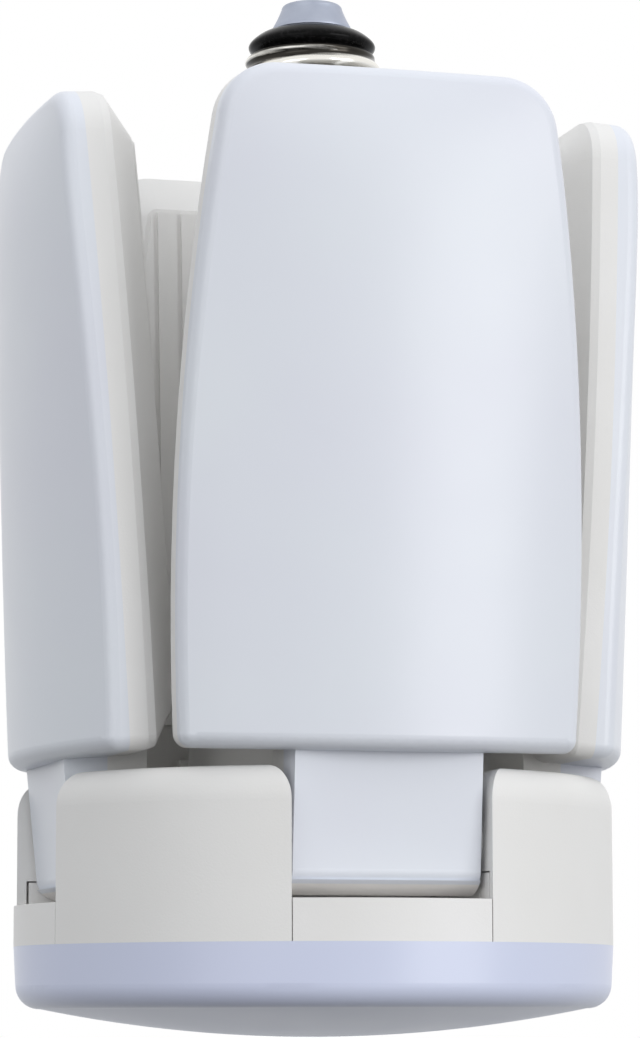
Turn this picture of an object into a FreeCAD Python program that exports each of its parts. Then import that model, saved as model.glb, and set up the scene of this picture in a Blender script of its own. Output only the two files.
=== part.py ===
import FreeCAD, Part
import math
import os

# Foldable four-leaf garage lamp, folded up, hanging from its screw cap. Millimetres.
# The shapes are drawn with z = 0 at the seam under the hub and -Y as the front, then
# lowered so that z = 0 is the top of the centre contact.

V = FreeCAD.Vector
ORIGIN = V(0, 0, 0)
UP = V(0, 0, 1)
SIDES = ("front", "right", "back", "left")
DIAGONAL = math.sqrt(0.5)

CONTACT_TO_SEAM = 180.6

# screw cap (26 mm Edison)
CAP_CREST_R = 13.1
THREAD_DEPTH = 1.0
CAP_ROOT_R = CAP_CREST_R - THREAD_DEPTH
CAP_WALL = 0.5
CAP_FIT = 0.1
CAP_SKIRT_R = CAP_CREST_R + CAP_FIT
CAP_PITCH = 3.63
CAP_TURNS = 3
CAP_SKIRT_H = 4.6
CAP_FLARE_H = 0.5
CAP_LIP_H = 0.8
SHELL_H = CAP_SKIRT_H + (CAP_TURNS + 0.5) * CAP_PITCH + CAP_LIP_H
CONTACT_TOP_R = 5.4
CONTACT_FOOT_R = 7.7
CONTACT_H = 5.3
CONTACT_ROUND = 0.8
CONTACT_RIM_H = 0.6
STEM_R = 1.5
INSULATOR_H = 4.9
INSULATOR_R = CAP_ROOT_R - CAP_LIP_H
INSULATOR_BELLY = 0.9
PLUG_H = 3.0
SHELL_TOP = CONTACT_TO_SEAM - CONTACT_H - INSULATOR_H
CAP_FOOT = SHELL_TOP - SHELL_H

# hub
HUB_R = 56.0
HUB_TOP = 30.7
HUB_SKIN = 2.5
BLOCK_ROUND_IN = 3.0
BLOCK_ROUND_H = 6.0
EASE_PULL = 0.55
EASE_CREASE = 0.3
SLOT_HALF = 18.3
CHEEK = 3.5
DECK_FOOT = 2.0
DECK_TOP = 5.0
DECK_FIT = 1.3
WIRE_HOLE_R = 7.0
JOINT_GAP = 0.2
POST_R = 3.4
POST_IN = 6.5
POST_BORE_H = 14.0

# screws
SCREW_R = 1.4
SCREW_HOLE_FIT = 0.1
HEAD_R = 2.6
HEAD_H = 1.4
COLUMN_SCREW_L = 5.4
RING_SCREW_L = 13.0
DISC_SCREW_L = 6.0
LEAF_SCREW_L = 5.0

# hinges
PIN_R = 2.0
PIN_IN = 13.5
PIN_DROP = 12.7
PIN_OUT = HUB_R - PIN_IN
PIN_Z = HUB_TOP - PIN_DROP
PIN_RUNNING_FIT = 0.06
WASHER_R = 5.0
WASHER_THICK = 1.1
WASHER_BORE_FIT = 0.1

# neck of a leaf, in its slot
NECK_HALF = SLOT_HALF - WASHER_THICK
NECK_SUNK = 4.5
NECK_DRAFT = 2.1
NECK_BELOW_PIN = 8.0
NECK_ROUND_H = 2.7
NECK_ROUND_IN = 2.5
NECK_FACE_TOP = HUB_R - NECK_SUNK
NECK_FACE_FOOT = NECK_FACE_TOP - NECK_DRAFT
NECK_END_Z = PIN_Z - NECK_BELOW_PIN
NECK_ROUND_Z = NECK_END_Z + NECK_ROUND_H
ARM_BACK_R = 6.5
TONGUE_PAST_NECK = 1.9
TONGUE_R = NECK_BELOW_PIN + TONGUE_PAST_NECK
TONGUE_BACK = 1.5
BOSS_R = 4.8

# base ring with its four low walls
SLOT_CAVITY = 2.5
WALL_TOP = NECK_END_Z - SLOT_CAVITY
WALL_THICK = 3.2
DECK_R = HUB_R - WALL_THICK - DECK_FIT
RING_FIT = 0.3
SPIGOT_H = 4.0
SPIGOT_THICK = 2.5
EAR_FACE = HUB_R - 5.4
EAR_LONG = 5.0
EAR_THICK = 1.7
EAR_TOP = 12.2
EAR_SLIT = 0.5

# lower lamp
LENS_WALL = 2.2
LENS_SIDE_H = 7.2
LENS_DRAFT = 0.4
LENS_CORNER = 4.6
LENS_SIDE_R = HUB_R - LENS_DRAFT
LENS_EDGE_R = LENS_SIDE_R - LENS_CORNER
LENS_EDGE_H = 11.5
LENS_DEPTH = 16.7
DISC_FIT = 1.4
DISC_R = HUB_R - HUB_SKIN - POST_IN - HEAD_R - DISC_FIT
DISC_THICK = 1.5
DISC_HOLE_R = 3.0
DISC_ROW_EDGE = 7.0
DISC_ROW_PITCH = 11.0
DISC_ROW_COUNTS = (24, 16, 8)
RING_SEAT = 5.0
RING_INNER_R = DISC_R - RING_SEAT

# column
COLUMN_FOOT_R = 25.0
COLUMN_FLANGE_WIDE = 6.5
COLUMN_FLANGE_R = COLUMN_FOOT_R + COLUMN_FLANGE_WIDE
COLUMN_FLANGE_H = 3.0
COLUMN_WALL = 2.0
COLUMN_MID_R = 20.0
COLUMN_MID_Z = 95.0
COLUMN_TOP_R = 18.6
COLUMN_SHOULDER_H = 7.0
COLUMN_NECK_H = 3.6
COLUMN_SHOULDER_Z = CAP_FOOT - COLUMN_SHOULDER_H - COLUMN_NECK_H
COLUMN_LEDGE = 1.6
COLUMN_NECK_R = CAP_SKIRT_R + COLUMN_LEDGE
FLANGE_FIT = 1.5
BLOCK_INNER_R = COLUMN_FLANGE_R + FLANGE_FIT

# driver
DRIVER_HALF = 15.0
DRIVER_THICK = 1.6
DRIVER_BELOW = 24.0
DRIVER_TOP = COLUMN_SHOULDER_Z - DRIVER_BELOW
GUIDE = 1.5
GUIDE_FIT = 0.1
CORE_HALF = 9.0
CORE_H = 20.0
CORE_DEEP = 13.0
CORE_Z = 44.0
BOBBIN_INSET = 2.0
BOBBIN_PAST = 4.0
CAN_R = 5.8
CAN_H = 12.0
CAN_X = 6.5
CAN_Z = 22.0
CHOKE_R = 8.0
CHOKE_BORE_R = 3.6
CHOKE_H = 6.0
CHOKE_Z = 54.0
BRIDGE_HALF = 7.0
BRIDGE_H = 11.0
BRIDGE_DEEP = 3.4
BRIDGE_Z = 86.0

# leaves
RIM_PAST_PIN = 0.8
LEAF_RISE = 3.1
RIM_OUT = PIN_OUT + RIM_PAST_PIN
LEAF_FOOT = HUB_TOP + LEAF_RISE
LEAF_LEAN = 3.9
LEAF_LENGTH = 121.9
LEAF_SIDE = 4.9
CORNER_GAP = 1.0
LEAF_HALF = RIM_OUT - LEAF_SIDE - CORNER_GAP
LEAF_WIDEST = 33.0
LEAF_SIDE_ARC = 540.0
LEAF_TOP_ROUND = 10.5
LEAF_FOOT_ROUND = 2.6
EDGE_EASE = 1.5
EASE_IN = 0.5
BEVEL_IN = 8.3
BEVEL_DEEP = 5.5
TRAY_WALL = 2.2
RIB_COUNT = 11
RIB_PITCH = 4.8
GROOVE_WIDE = 0.9
RIB_WIDE = RIB_PITCH - GROOVE_WIDE
RIB_TALL = 0.6
RIB_SUNK = 0.5
RIB_END_GAP = 0.8
CROWN_FOOT = 13.7
CROWN_TIP = 7.8
CROWN_BULGE = 0.7
COVER_EDGE = 2.7
TIP_EASE = 22.0
TIP_DROP = 3.4
CROWN_SECTIONS = 9
COVER_WALL = 1.6
COVER_ROUND = 2.8
BOARD_FIT = 0.3
BOARD_THICK = 1.2
BOARD_BACK = 3.0

# light chips of a leaf, and the posts that carry its board
CHIP_W = 2.8
CHIP_L = 3.5
CHIP_H = 0.7
CHIP_COLUMNS = 5
CHIP_ROWS = 11
CHIP_SIDE_MARGIN = 15.4
CHIP_END_MARGIN = 13.0
CHIP_PITCH_U = 2 * (LEAF_HALF - CHIP_SIDE_MARGIN) / (CHIP_COLUMNS - 1)
CHIP_PITCH_W = (LEAF_LENGTH - 2 * CHIP_END_MARGIN) / (CHIP_ROWS - 1)
LEAF_POST_X = 1.5 * CHIP_PITCH_U
LEAF_POST_LOW = 22.0
LEAF_POST_BELOW = 22.8
LEAF_POST_HIGH = LEAF_LENGTH - LEAF_POST_BELOW


def rod(radius, z0, z1, x=0.0, y=0.0):
    return Part.makeCylinder(radius, z1 - z0, V(x, y, z0))


def tube(outer, inner, z0, z1):
    return rod(outer, z0, z1).cut(rod(inner, z0 - 1, z1 + 1))


def block(x0, x1, y0, y1, z0, z1):
    return Part.makeBox(x1 - x0, y1 - y0, z1 - z0, V(x0, y0, z0))


def cross_rod(radius, x0, x1, out, z):
    return Part.makeCylinder(radius, x1 - x0, V(x0, -out, z), V(1, 0, 0))


def joined(shapes):
    first = shapes[0]
    return first.multiFuse(shapes[1:]).removeSplitter() if len(shapes) > 1 else first


def turned_quarter(shape, quarter):
    copy = shape.copy()
    copy.rotate(ORIGIN, UP, 90.0 * quarter)
    return copy


def all_round(shape):
    return [turned_quarter(shape, quarter) for quarter in range(4)]


def revolved(edges):
    face = Part.Face(Part.Wire(edges))
    return face.revolve(ORIGIN, UP, 360)


def revolved_points(points):
    corners = [V(r, 0, z) for r, z in points]
    return Part.Face(Part.makePolygon(corners + corners[:1])).revolve(ORIGIN, UP, 360)


def export(name, shapes):
    part = Part.makeCompound(shapes) if len(shapes) > 1 else shapes[0]
    part.translate(V(0, 0, -CONTACT_TO_SEAM))
    part.exportStep("parts/" + name + ".step")


# ---- screw cap ---------------------------------------------------------------------------

def thread_edges(inset):
    edges = []
    swing = (CAP_CREST_R - CAP_ROOT_R) / 2
    middle = (CAP_CREST_R + CAP_ROOT_R) / 2 - inset
    half = CAP_PITCH / 2
    z = CAP_FOOT + CAP_SKIRT_H
    for step in range(2 * CAP_TURNS + 1):
        bulge = -swing if step % 2 == 0 else swing
        low = V(middle, 0, z)
        top = V(middle + bulge, 0, z + half / 2)
        high = V(middle, 0, z + half)
        edges.append(Part.Arc(low, top, high).toShape())
        z += half
    return edges, z


def screw_shell():
    thread, z = thread_edges(0.0)
    middle = (CAP_CREST_R + CAP_ROOT_R) / 2
    lip = INSULATOR_R - CAP_WALL
    flare_z = CAP_FOOT + CAP_SKIRT_H - CAP_FLARE_H
    inner, inner_z = thread_edges(CAP_WALL)
    outer_line = [V(CAP_SKIRT_R, 0, CAP_FOOT), V(CAP_SKIRT_R, 0, flare_z)]
    outer_line.append(V(middle, 0, CAP_FOOT + CAP_SKIRT_H))
    edges = [Part.makeLine(outer_line[0], outer_line[1]), Part.makeLine(outer_line[1], outer_line[2])]
    edges += thread
    cap_line = [V(middle, 0, z), V(lip, 0, SHELL_TOP), V(lip, 0, SHELL_TOP - CAP_WALL)]
    cap_line.append(V(middle - CAP_WALL, 0, inner_z))
    edges += [Part.makeLine(cap_line[i], cap_line[i + 1]) for i in range(3)]
    edges += inner
    foot = [V(middle - CAP_WALL, 0, CAP_FOOT + CAP_SKIRT_H)]
    foot.append(V(CAP_SKIRT_R - CAP_WALL, 0, flare_z))
    foot.append(V(CAP_SKIRT_R - CAP_WALL, 0, CAP_FOOT))
    foot.append(outer_line[0])
    edges += [Part.makeLine(foot[i], foot[i + 1]) for i in range(3)]
    return revolved(Part.__sortEdges__(edges))


def insulator():
    seat = CONTACT_TO_SEAM - CONTACT_H
    edge = V(INSULATOR_R, 0, SHELL_TOP)
    shoulder = V(CONTACT_FOOT_R + 0.3, 0, seat)
    belly = V(INSULATOR_R - INSULATOR_BELLY, 0, (SHELL_TOP + seat) / 2 + 0.4)
    plug_r = INSULATOR_R - CAP_WALL - CAP_FIT
    plug_foot = SHELL_TOP - PLUG_H
    edges = [Part.Arc(edge, belly, shoulder).toShape()]
    line = [shoulder, V(0, 0, seat), V(0, 0, plug_foot), V(plug_r, 0, plug_foot)]
    line += [V(plug_r, 0, SHELL_TOP), edge]
    edges += [Part.makeLine(line[i], line[i + 1]) for i in range(len(line) - 1)]
    return revolved(edges).cut(rod(STEM_R + CAP_FIT, plug_foot - 1, seat + 1))


def contact():
    seat = CONTACT_TO_SEAM - CONTACT_H
    points = [(0, seat), (CONTACT_FOOT_R, seat), (CONTACT_FOOT_R, seat + CONTACT_RIM_H)]
    points += [(CONTACT_TOP_R + CONTACT_ROUND / 2, CONTACT_TO_SEAM - CONTACT_ROUND)]
    points += [(CONTACT_TOP_R, CONTACT_TO_SEAM - 0.375 * CONTACT_ROUND)]
    points += [(CONTACT_TOP_R - CONTACT_ROUND, CONTACT_TO_SEAM), (0, CONTACT_TO_SEAM)]
    stem = rod(STEM_R, SHELL_TOP - PLUG_H, seat + CONTACT_RIM_H)
    return revolved_points(points).fuse(stem).removeSplitter()


# ---- column and driver ----------------------------------------------------------------------

def column_outside():
    return ((COLUMN_FOOT_R, DECK_TOP + COLUMN_FLANGE_H), (COLUMN_MID_R, COLUMN_MID_Z),
            (COLUMN_TOP_R, COLUMN_SHOULDER_Z), (COLUMN_NECK_R, COLUMN_SHOULDER_Z + COLUMN_SHOULDER_H))


def column_shape():
    skirt_r = CAP_SKIRT_R - CAP_WALL - CAP_FIT
    thread_r = CAP_ROOT_R - CAP_WALL - CAP_FIT
    step_z = CAP_FOOT + CAP_SKIRT_H - 2 * CAP_FLARE_H
    neck_top = SHELL_TOP - PLUG_H - 2 * RING_FIT
    points = [(COLUMN_FLANGE_R, DECK_TOP), (COLUMN_FLANGE_R, DECK_TOP + COLUMN_FLANGE_H)]
    points += list(column_outside())
    points += [(COLUMN_NECK_R, CAP_FOOT), (skirt_r, CAP_FOOT), (skirt_r, step_z), (thread_r, step_z)]
    points += [(thread_r, neck_top), (thread_r - COLUMN_WALL, neck_top)]
    points += [(thread_r - COLUMN_WALL, COLUMN_SHOULDER_Z + COLUMN_SHOULDER_H - COLUMN_WALL / 2)]
    points += [(COLUMN_TOP_R - COLUMN_WALL, COLUMN_SHOULDER_Z - COLUMN_WALL / 2)]
    points += [(COLUMN_MID_R - COLUMN_WALL, COLUMN_MID_Z), (COLUMN_FOOT_R - COLUMN_WALL, DECK_TOP)]
    shell = revolved_points(points)
    holes = [rod(SCREW_R + SCREW_HOLE_FIT, DECK_TOP - 1, DECK_TOP + COLUMN_FLANGE_H + 1, x, y)
             for x, y in column_screw_places()]
    return joined([shell] + driver_rails()).cut(Part.makeCompound(holes))


def driver_rails():
    sunk = COLUMN_WALL / 4
    keep = revolved_points([(0, DECK_TOP), (COLUMN_FOOT_R - sunk, DECK_TOP),
                            (COLUMN_MID_R - sunk, COLUMN_MID_Z),
                            (COLUMN_TOP_R - sunk, COLUMN_SHOULDER_Z), (0, COLUMN_SHOULDER_Z)])
    inner = DRIVER_HALF - GUIDE
    side = DRIVER_THICK / 2 + GUIDE_FIT
    rails = []
    for direction in (-1, 1):
        for face in (-1, 1):
            x = sorted((direction * inner, direction * COLUMN_FOOT_R))
            y = sorted((face * side, face * (side + GUIDE)))
            rails.append(block(x[0], x[1], y[0], y[1], DECK_TOP, DRIVER_TOP - 4).common(keep))
    return rails


def column_screw_places():
    reach = (COLUMN_FOOT_R + COLUMN_FLANGE_R) / 2 - 0.4
    part = reach * DIAGONAL
    return [(part, part), (-part, part), (-part, -part), (part, -part)]


def driver_board():
    return block(-DRIVER_HALF, DRIVER_HALF, -DRIVER_THICK / 2, DRIVER_THICK / 2, DECK_TOP, DRIVER_TOP)


def transformer():
    face = DRIVER_THICK / 2
    half = CORE_HALF - BOBBIN_INSET
    margin = 0.75 * BOBBIN_INSET
    core = block(-CORE_HALF, CORE_HALF, face, face + CORE_DEEP, CORE_Z, CORE_Z + CORE_H)
    bobbin = block(-half, half, face + margin, face + CORE_DEEP - margin,
                   CORE_Z - BOBBIN_PAST, CORE_Z + CORE_H + BOBBIN_PAST)
    return joined([core, bobbin])


def capacitors():
    face = DRIVER_THICK / 2
    groove_y = face + 0.38 * CAN_R
    cans = []
    for x in (-CAN_X, CAN_X):
        can = Part.makeCylinder(CAN_R, CAN_H, V(x, face, CAN_Z), V(0, 1, 0))
        cans.append(can.cut(Part.makeTorus(1.02 * CAN_R, 0.09 * CAN_R, V(x, groove_y, CAN_Z), V(0, 1, 0))))
    return cans


def inductor():
    face = -DRIVER_THICK / 2
    ring = Part.makeCylinder(CHOKE_R, CHOKE_H, V(0, face - CHOKE_H, CHOKE_Z), V(0, 1, 0))
    bore = Part.makeCylinder(CHOKE_BORE_R, CHOKE_H + 2, V(0, face - CHOKE_H - 1, CHOKE_Z), V(0, 1, 0))
    return ring.cut(bore)


def rectifier():
    face = -DRIVER_THICK / 2
    return block(-BRIDGE_HALF, BRIDGE_HALF, face - BRIDGE_DEEP, face, BRIDGE_Z, BRIDGE_Z + BRIDGE_H)


# ---- hub -----------------------------------------------------------------------------------

def quadrant(lowest, z0, z1):
    far = HUB_R + 5
    return block(lowest, far, lowest, far, z0, z1)


def eased_section(face, away, far):
    # section from far to face, whose top corner at the face leans away (+1 or -1) in a soft curve
    start = V(face, 0, HUB_TOP - BLOCK_ROUND_H)
    corner = V(face, 0, HUB_TOP - EASE_CREASE)
    stop = V(face + away * BLOCK_ROUND_IN, 0, HUB_TOP)
    curve = Part.BezierCurve()
    curve.setPoles([start, start + (corner - start) * EASE_PULL, stop + (corner - stop) * EASE_PULL, stop])
    ring = [stop, V(far, 0, HUB_TOP), V(far, 0, 0), V(face, 0, 0), start]
    lines = [Part.makeLine(ring[i], ring[i + 1]) for i in range(len(ring) - 1)]
    return Part.Face(Part.Wire([curve.toShape()] + lines))


def hub_block():
    ring = eased_section(HUB_R, -1, BLOCK_INNER_R).revolve(ORIGIN, UP, 360)
    beside_slot = eased_section(SLOT_HALF, 1, HUB_R + 5)
    beside_slot.translate(V(0, SLOT_HALF, 0))
    beside_slot = beside_slot.extrude(V(0, HUB_R, 0))
    return ring.common(beside_slot).common(beside_slot.mirror(ORIGIN, V(1, -1, 0)))


def block_pocket():
    ring = tube(HUB_R - HUB_SKIN, BLOCK_INNER_R + HUB_SKIN, -1, HUB_TOP - HUB_SKIN)
    return ring.common(quadrant(SLOT_HALF + CHEEK, -1, HUB_TOP - HUB_SKIN))


def hub_post_place():
    reach = (HUB_R - HUB_SKIN - POST_IN) * DIAGONAL
    return reach, reach


def hub_shape():
    x, y = hub_post_place()
    post = rod(POST_R, DECK_FOOT, HUB_TOP - HUB_SKIN / 2, x, y)
    bore = rod(SCREW_R + SCREW_HOLE_FIT, DECK_FOOT - 1, DECK_FOOT + POST_BORE_H, x, y)
    corner = hub_block().cut(block_pocket()).fuse(post).cut(bore)
    deck = rod(DECK_R, DECK_FOOT, DECK_TOP)
    deck = deck.cut(Part.makeCompound(all_round(block_pocket())))
    body = joined([deck] + all_round(corner))
    body = body.cut(rod(HUB_R - HUB_SKIN, -1, DECK_FOOT))
    body = body.cut(rod(WIRE_HOLE_R, DECK_FOOT - 1, DECK_TOP + 1))
    holes = [rod(SCREW_R + SCREW_HOLE_FIT, DECK_FOOT - 1, DECK_TOP + 1, px, py)
             for px, py in column_screw_places() + disc_screw_places()]
    holes += all_round(cross_rod(PIN_R, -SLOT_HALF - CHEEK, SLOT_HALF + CHEEK, PIN_OUT, PIN_Z))
    for notch in cheek_ears(EAR_SLIT, RING_FIT):
        holes += all_round(notch)
    return body.cut(Part.makeCompound(holes))


def base_ring():
    plate_r = HUB_R - HUB_SKIN - RING_FIT
    plate = tube(plate_r, RING_INNER_R, 0, DECK_FOOT)
    spigot = tube(plate_r, plate_r - SPIGOT_THICK, -SPIGOT_H, 0.5)
    band = tube(HUB_R, HUB_R - WALL_THICK, 0, WALL_TOP)
    half = SLOT_HALF - JOINT_GAP
    wall = band.common(block(-half, half, -HUB_R - 1, 0, 0, WALL_TOP))
    ears = cheek_ears(0.0, 0.0)
    ring = joined([plate, spigot] + all_round(wall) + all_round(ears[0]) + all_round(ears[1]))
    x, y = hub_post_place()
    holes = all_round(rod(SCREW_R + SCREW_HOLE_FIT, -1, DECK_FOOT + 1, x, y))
    holes += [rod(SCREW_R + SCREW_HOLE_FIT, -1, DECK_FOOT + 1, px, py) for px, py in disc_screw_places()]
    return ring.cut(Part.makeCompound(holes))


def cheek_ears(slit, fit):
    # both ends of the front slot: what stands there of the base ring, or its notch with a slit and a fit
    ears = []
    front = EAR_FACE + slit
    back = EAR_FACE - EAR_LONG - fit
    for direction in (-1, 1):
        x = sorted((direction * SLOT_HALF, direction * (SLOT_HALF + EAR_THICK + fit)))
        ears.append(block(x[0], x[1], -front, -back, DECK_FOOT - fit, EAR_TOP + fit))
    return ears


def hinge_pin():
    return cross_rod(PIN_R, -SLOT_HALF - CHEEK, SLOT_HALF + CHEEK, PIN_OUT, PIN_Z)


def hinge_washers():
    bore = cross_rod(PIN_R + WASHER_BORE_FIT, -SLOT_HALF - 1, SLOT_HALF + 1, PIN_OUT, PIN_Z)
    left = cross_rod(WASHER_R, -SLOT_HALF, -NECK_HALF, PIN_OUT, PIN_Z)
    right = cross_rod(WASHER_R, NECK_HALF, SLOT_HALF, PIN_OUT, PIN_Z)
    return [left.cut(bore), right.cut(bore)]


# ---- lower lamp ----------------------------------------------------------------------------

def lens_line(wall):
    top = V(HUB_R - wall, 0, 0)
    side = V(LENS_SIDE_R - wall, 0, -LENS_SIDE_H)
    edge = V(LENS_EDGE_R - wall, 0, -LENS_EDGE_H + 0.85 * wall)
    aside = 1 - DIAGONAL
    middle = V(aside * edge.x + DIAGONAL * side.x, 0, DIAGONAL * edge.z + aside * side.z)
    bottom = V(0, 0, -LENS_DEPTH + wall)
    dome = Part.BezierCurve()
    dome.setPoles([edge, V(edge.x / 2, 0, bottom.z), bottom])
    return top, bottom, [Part.makeLine(top, side), Part.Arc(side, middle, edge).toShape(), dome.toShape()]


def lens():
    top, bottom, outside = lens_line(0.0)
    inner_top, inner_bottom, inside = lens_line(LENS_WALL + RING_FIT)
    ends = [Part.makeLine(top, inner_top), Part.makeLine(bottom, inner_bottom)]
    return revolved(Part.__sortEdges__(outside + ends + inside))


def disc_screw_places():
    reach = DISC_R - HEAD_R
    return [(reach, 0.0), (0.0, reach), (-reach, 0.0), (0.0, -reach)]


def disc_board():
    holes = [rod(SCREW_R + SCREW_HOLE_FIT, -DISC_THICK - 1, 1, x, y) for x, y in disc_screw_places()]
    holes.append(rod(DISC_HOLE_R, -DISC_THICK - 1, 1))
    return rod(DISC_R, -DISC_THICK, 0).cut(Part.makeCompound(holes))


def disc_chips():
    chips = []
    top = -DISC_THICK
    for row, count in enumerate(DISC_ROW_COUNTS):
        radius = DISC_R - DISC_ROW_EDGE - row * DISC_ROW_PITCH
        for index in range(count):
            near, past = radius - CHIP_W / 2, radius + CHIP_W / 2
            chip = block(near, past, -CHIP_L / 2, CHIP_L / 2, top - CHIP_H, top)
            chip.rotate(ORIGIN, UP, 360.0 * (index + 0.5) / count)
            chips.append(chip)
    return chips


def screw_up(x, y, seat, length):
    head = rod(HEAD_R, seat - HEAD_H, seat, x, y)
    return head.fuse(rod(SCREW_R, seat, seat + length, x, y)).removeSplitter()


def screw_down(x, y, seat, length):
    head = rod(HEAD_R, seat, seat + HEAD_H, x, y)
    return head.fuse(rod(SCREW_R, seat - length, seat, x, y)).removeSplitter()


# ---- leaves --------------------------------------------------------------------------------
# A leaf is drawn upright: x sideways, z up from its foot, y = 0 the joint between cover and
# tray with the cover at y < 0. leaned() puts it in its folded place on the front of the hub.

def leaned(shape):
    copy = shape.copy()
    copy.rotate(ORIGIN, V(1, 0, 0), LEAF_LEAN)
    copy.translate(V(0, -RIM_OUT, LEAF_FOOT))
    return copy


def side_x(inset, z):
    centre = LEAF_HALF - LEAF_SIDE_ARC
    radius = LEAF_SIDE_ARC - inset
    return centre + math.sqrt(radius ** 2 - (z - LEAF_WIDEST) ** 2)


def slab(inset, y0, y1, foot_inset=None):
    foot = inset if foot_inset is None else foot_inset
    tip = LEAF_LENGTH - inset
    low = side_x(inset, foot)
    mid = side_x(inset, (foot + tip) / 2)
    high = side_x(inset, tip)
    corners = [V(low, y0, foot), V(mid, y0, (foot + tip) / 2), V(high, y0, tip)]
    mirror = [V(-p.x, p.y, p.z) for p in corners]
    edges = [Part.Arc(*corners).toShape(), Part.makeLine(corners[2], mirror[2])]
    edges += [Part.Arc(*mirror[::-1]).toShape(), Part.makeLine(mirror[0], corners[0])]
    solid = Part.Face(Part.Wire(edges)).extrude(V(0, y1 - y0, 0))
    upright = [e for e in solid.Edges if e.BoundBox.YLength > abs(y1 - y0) - 0.01]
    top_edges = [e for e in upright if e.CenterOfMass.z > LEAF_LENGTH / 2]
    solid = solid.makeFillet(max(LEAF_TOP_ROUND - inset, 1.5), top_edges)
    upright = [e for e in solid.Edges if e.BoundBox.YLength > abs(y1 - y0) - 0.01]
    low_edges = [e for e in upright if e.CenterOfMass.z < foot + 0.01]
    return solid.makeFillet(max(LEAF_FOOT_ROUND - inset, 1.0), low_edges)


def wire_at(solid, y):
    for face in solid.Faces:
        box = face.BoundBox
        if box.YLength < 0.001 and abs(box.YMin - y) < 0.001:
            return face.OuterWire
    return None


def tray_block(inset):
    side_y = LEAF_SIDE - EDGE_EASE
    eased_y = LEAF_SIDE
    floor_y = LEAF_SIDE + BEVEL_DEEP - inset
    side = slab(inset, 0.0, side_y)
    eased = slab(inset + EASE_IN, side_y, eased_y)
    lower = slab(inset + BEVEL_IN, eased_y, floor_y)
    ease = Part.makeLoft([wire_at(side, side_y), wire_at(eased, eased_y)], True, True)
    back = Part.makeLoft([wire_at(eased, eased_y), wire_at(lower, floor_y)], True, True)
    return side.fuse([ease, back])


def tray_ribs():
    floor_y = LEAF_SIDE + BEVEL_DEEP
    panel = slab(BEVEL_IN + RIB_END_GAP, floor_y - RIB_SUNK, floor_y + RIB_TALL)
    ribs = []
    for index in range(RIB_COUNT):
        x = (index - (RIB_COUNT - 1) / 2) * RIB_PITCH
        low, high = x - RIB_WIDE / 2, x + RIB_WIDE / 2
        rib = block(low, high, floor_y - RIB_SUNK, floor_y + RIB_TALL, 0, LEAF_LENGTH)
        ribs.append(rib.common(panel))
    return ribs


def leaf_post_places():
    return [(x, z) for z in (LEAF_POST_LOW, LEAF_POST_HIGH) for x in (-LEAF_POST_X, LEAF_POST_X)]


def tray_posts():
    floor_y = LEAF_SIDE + BEVEL_DEEP - TRAY_WALL / 2
    return [Part.makeCylinder(POST_R, floor_y - BOARD_BACK, V(x, BOARD_BACK, z), V(0, 1, 0))
            for x, z in leaf_post_places()]


def tray_bores():
    depth = LEAF_SCREW_L - BOARD_THICK + 1.2
    return [Part.makeCylinder(SCREW_R + SCREW_HOLE_FIT, depth + 1, V(x, BOARD_BACK - 1, z), V(0, 1, 0))
            for x, z in leaf_post_places()]


def hinge_arm():
    top = LEAF_FOOT + TRAY_WALL + 1.0
    back = PIN_OUT - ARM_BACK_R
    bar = block(-NECK_HALF, NECK_HALF, -RIM_OUT, -back, PIN_Z, top)
    heel = cross_rod(ARM_BACK_R, -NECK_HALF, NECK_HALF, PIN_OUT, PIN_Z)
    heel = heel.common(block(-NECK_HALF, NECK_HALF, -RIM_OUT, 0, 0, PIN_Z + ARM_BACK_R))
    boss = cross_rod(BOSS_R, -NECK_HALF, NECK_HALF, PIN_OUT, PIN_Z)
    return joined([bar, heel, boss])


def tray():
    body = tray_block(0.0).cut(tray_block(TRAY_WALL))
    body = joined([body] + tray_ribs() + tray_posts()).cut(Part.makeCompound(tray_bores()))
    body = joined([leaned(body), hinge_arm()])
    return body.cut(cross_rod(PIN_R + PIN_RUNNING_FIT, -NECK_HALF - 1, NECK_HALF + 1, PIN_OUT, PIN_Z))


def crown_height(z):
    share = z / LEAF_LENGTH
    swelling = CROWN_FOOT + (CROWN_TIP - CROWN_FOOT) * share + 4 * CROWN_BULGE * share * (1 - share)
    eased = max(z - LEAF_LENGTH + TIP_EASE, 0.0) / TIP_EASE
    return swelling - TIP_DROP * eased ** 2


def crown_wire(inset, z):
    drop = crown_height(z) - COVER_EDGE
    radius = (LEAF_HALF ** 2 + drop ** 2) / (2 * drop) - inset
    crown = crown_height(z) - inset
    far = LEAF_HALF + 3.0
    far_y = math.sqrt(radius ** 2 - far ** 2) - radius + crown
    right = V(far, -far_y, z)
    left = V(-far, -far_y, z)
    arc = Part.Arc(left, V(0, -crown, z), right).toShape()
    round_back = [right, V(far, 6.0, z), V(-far, 6.0, z), left]
    lines = [Part.makeLine(round_back[i], round_back[i + 1]) for i in range(3)]
    return Part.Wire([arc] + lines)


def cover_block(inset, back):
    step = (LEAF_LENGTH + 4.0) / CROWN_SECTIONS
    wires = [crown_wire(inset, index * step - 2.0) for index in range(CROWN_SECTIONS + 1)]
    crown = Part.makeLoft(wires, True, False)
    return slab(inset, -CROWN_FOOT - 5.0, back).common(crown)


def rounded_cover():
    solid = cover_block(0.0, 0.0)
    crown_face = max(solid.Faces, key=lambda face: face.Area if face.CenterOfMass.y < -1 else 0)
    return solid.makeFillet(COVER_ROUND, crown_face.Edges)


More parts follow.
